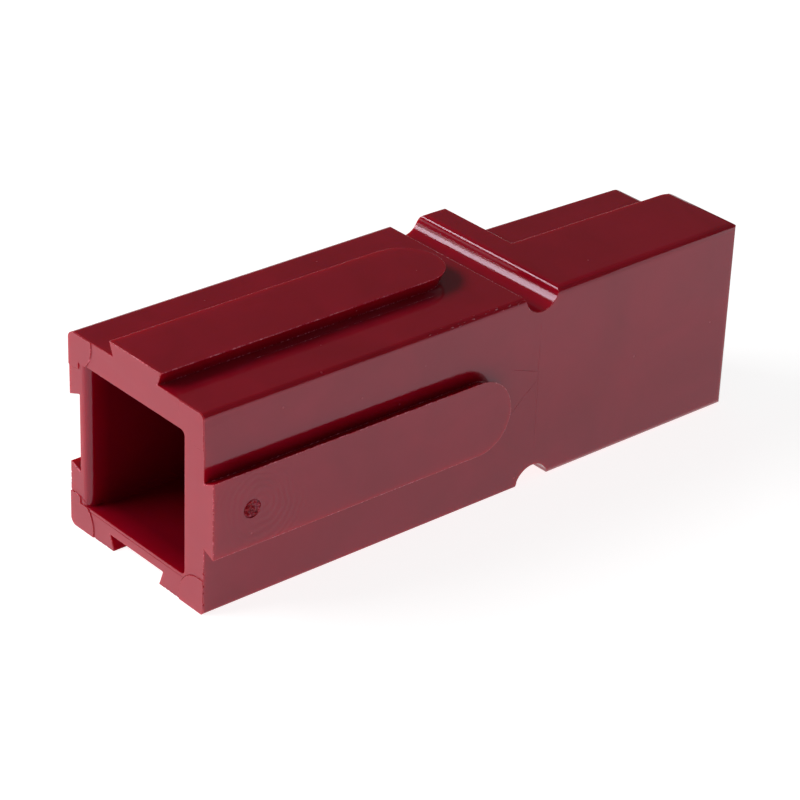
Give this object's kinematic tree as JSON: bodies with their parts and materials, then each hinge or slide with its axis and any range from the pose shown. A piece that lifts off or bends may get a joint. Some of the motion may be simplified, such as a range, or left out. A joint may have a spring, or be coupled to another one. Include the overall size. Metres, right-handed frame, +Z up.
{
  "type": "genderless power connector housing",
  "caption": "Square moulded housing of a genderless power connector, with a cable cavity, a hood, a contact tongue, stacking dovetails, pin grooves and a leaf spring.",
  "frame": {"origin": "under the middle of the whole part, at the level of the housing's underside", "axes": "+X along the housing from the cable end to the mating end, +Y from the hood towards the tongue, +Z up"},
  "size_m": [0.0796, 0.0262, 0.0261],
  "materials": {
    "moulded_housing": "satin gloss moulded red",
    "spring_steel": "bright rolled stainless strip"
  },
  "bodies": {
    "root": {"housing": "moulded_housing", "retention_spring": "spring_steel"}
  },
  "joints": []
}
